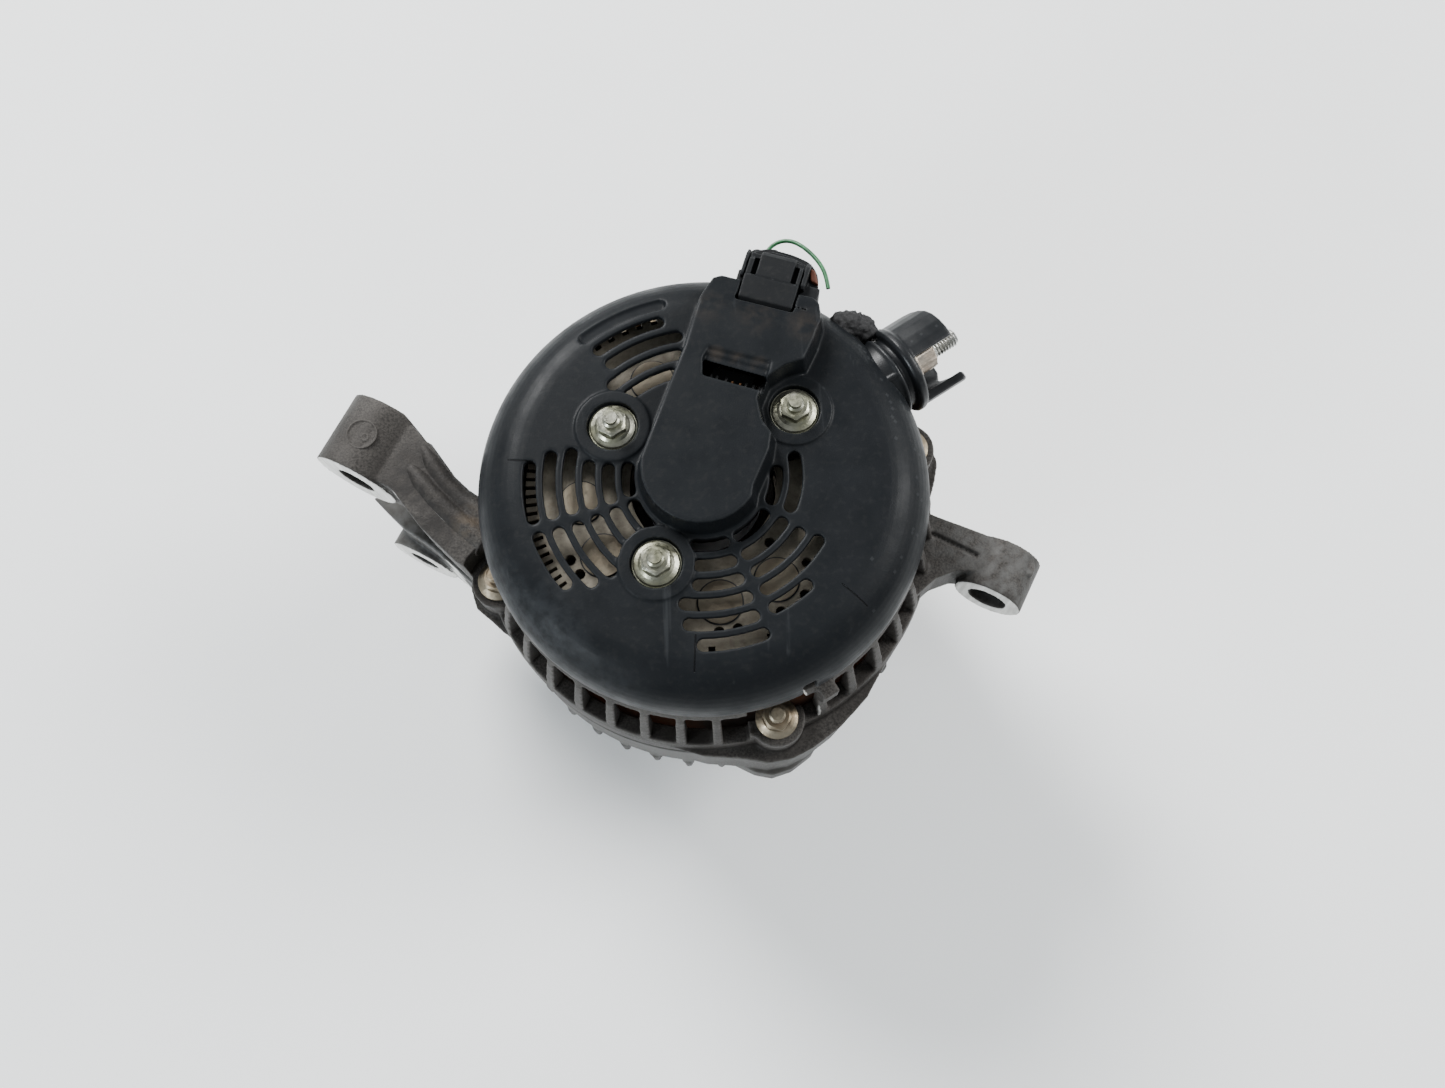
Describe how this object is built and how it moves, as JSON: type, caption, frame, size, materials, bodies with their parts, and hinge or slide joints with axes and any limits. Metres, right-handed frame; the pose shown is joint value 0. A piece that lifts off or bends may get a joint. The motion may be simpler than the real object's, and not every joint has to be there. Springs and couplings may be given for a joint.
{
  "type": "car alternator",
  "caption": "Claw-pole car alternator with a slotted plastic rear cover, cast housings with three mounting ears, output stud, wiring plug and ribbed belt pulley",
  "frame": {"origin": "Centre of the pulley's front end face, where the alternator stands, on the shaft's axis", "axes": "+Z runs along the shaft from the pulley to the rear cover, +X points towards the single right-hand mounting ear's side, +Y is square to both and points to the wiring plug's side"},
  "size_m": [0.2283, 0.1564, 0.1565],
  "materials": {
    "rear_cover": "moulded, satin, scuffed",
    "cover_nuts": "zinc plated, yellow-green tint",
    "rectifier_studs": "zinc plated",
    "rectifier_plus_plate": "dull beige cast aluminium",
    "rectifier_minus_plate": "dull cast aluminium",
    "plus_diodes": "nickel plated cups",
    "minus_diodes": "nickel plated cups",
    "terminal_ring": "glass-filled moulding",
    "terminal_insulator": "moulded",
    "output_stud": "zinc plated thread",
    "output_nut": "dull plated",
    "rubber_sleeve": "rough torn rubber",
    "regulator": "moulded",
    "regulator_heat_sink": "dull cast",
    "rear_housing": "rough die-cast, dirty",
    "front_housing": "rough die-cast, dirty",
    "through_bolts": "zinc plated, aged",
    "through_bolt_nuts": "zinc plated, aged",
    "stator_core": "laminated steel, rusty edge",
    "stator_winding": "enamelled copper",
    "front_bearing_outer": "ground",
    "front_bearing_shields": "rubber seal",
    "rear_bearing_outer": "ground",
    "rear_bearing_shields": "rubber seal",
    "bearing_plate": "pressed",
    "bearing_plate_screws": "plated",
    "brush_holder": "moulded",
    "brush_spring_1": "spring wire",
    "brush_spring_2": "spring wire",
    "rotor_shaft": "ground",
    "front_claw_pole": "forged",
    "rear_claw_pole": "forged",
    "field_bobbin": "nylon",
    "field_coil": "enamelled copper",
    "front_fan": "pressed steel",
    "rear_fan": "pressed steel",
    "slip_ring_sleeve": "phenolic",
    "slip_rings": "copper, polished track",
    "front_bearing_inner": "ground",
    "rear_bearing_inner": "ground",
    "pulley": "turned, oiled",
    "pulley_nut": "plated",
    "spacer_collar": "turned",
    "front_bearing_balls": "polished",
    "front_bearing_cage": "pressed",
    "rear_bearing_balls": "polished",
    "rear_bearing_cage": "pressed",
    "brush_1": "copper-graphite",
    "brush_2": "copper-graphite",
    "harness_plug": "moulded, dusty",
    "wire_stubs": "black insulation, cut",
    "green_wire": "green insulation",
    "latch_lever": "moulded, dusty"
  },
  "bodies": {
    "housing": {"rear_cover": "rear_cover", "cover_nuts": "cover_nuts", "rectifier_studs": "rectifier_studs", "rectifier_plus_plate": "rectifier_plus_plate", "rectifier_minus_plate": "rectifier_minus_plate", "plus_diodes": "plus_diodes", "minus_diodes": "minus_diodes", "terminal_ring": "terminal_ring", "terminal_insulator": "terminal_insulator", "output_stud": "output_stud", "output_nut": "output_nut", "rubber_sleeve": "rubber_sleeve", "regulator": "regulator", "regulator_heat_sink": "regulator_heat_sink", "rear_housing": "rear_housing", "front_housing": "front_housing", "through_bolts": "through_bolts", "through_bolt_nuts": "through_bolt_nuts", "stator_core": "stator_core", "stator_winding": "stator_winding", "front_bearing_outer": "front_bearing_outer", "front_bearing_shields": "front_bearing_shields", "rear_bearing_outer": "rear_bearing_outer", "rear_bearing_shields": "rear_bearing_shields", "bearing_plate": "bearing_plate", "bearing_plate_screws": "bearing_plate_screws", "brush_holder": "brush_holder", "brush_spring_1": "brush_spring_1", "brush_spring_2": "brush_spring_2"},
    "rotor": {"rotor_shaft": "rotor_shaft", "front_claw_pole": "front_claw_pole", "rear_claw_pole": "rear_claw_pole", "field_bobbin": "field_bobbin", "field_coil": "field_coil", "front_fan": "front_fan", "rear_fan": "rear_fan", "slip_ring_sleeve": "slip_ring_sleeve", "slip_rings": "slip_rings", "front_bearing_inner": "front_bearing_inner", "rear_bearing_inner": "rear_bearing_inner", "pulley": "pulley", "pulley_nut": "pulley_nut", "spacer_collar": "spacer_collar"},
    "front_ball_set": {"front_bearing_balls": "front_bearing_balls", "front_bearing_cage": "front_bearing_cage"},
    "rear_ball_set": {"rear_bearing_balls": "rear_bearing_balls", "rear_bearing_cage": "rear_bearing_cage"},
    "brush_1": {"brush_1": "brush_1"},
    "brush_2": {"brush_2": "brush_2"},
    "plug": {"harness_plug": "harness_plug", "wire_stubs": "wire_stubs", "green_wire": "green_wire"},
    "latch": {"latch_lever": "latch_lever"}
  },
  "joints": [
    {"name": "rotor_spin", "type": "hinge", "parent": "housing", "child": "rotor", "pos_m": [0, 0, 0.088], "axis": [0, 0, 1], "continuous": true},
    {"name": "front_balls_spin", "type": "hinge", "parent": "housing", "child": "front_ball_set", "pos_m": [0, 0, 0.051], "axis": [0, 0, 1], "continuous": true},
    {"name": "rear_balls_spin", "type": "hinge", "parent": "housing", "child": "rear_ball_set", "pos_m": [0, 0, 0.1225], "axis": [0, 0, 1], "continuous": true},
    {"name": "brush_1_slide", "type": "slide", "parent": "housing", "child": "brush_1", "axis": [0.3256, 0.9455, 0], "range_m": [0, 0.005], "deforming": ["brush_spring_1"]},
    {"name": "brush_2_slide", "type": "slide", "parent": "housing", "child": "brush_2", "axis": [0.3256, 0.9455, 0], "range_m": [0, 0.005], "deforming": ["brush_spring_2"]},
    {"name": "plug_pull", "type": "slide", "parent": "housing", "child": "plug", "axis": [0.3256, 0.9455, 0], "range_m": [0, 0.02]},
    {"name": "latch_press", "type": "hinge", "parent": "plug", "child": "latch", "pos_m": [0.02552, 0.05721, 0.1492], "axis": [-0.9455, 0.3256, 0], "range_deg": [0, 5], "stiffness_Nm_per_rad": 0.1}
  ],
  "couplings": [
    {"joint": "front_balls_spin", "follows": "rotor_spin", "ratio": 0.3787},
    {"joint": "rear_balls_spin", "follows": "rotor_spin", "ratio": 0.3967}
  ]
}
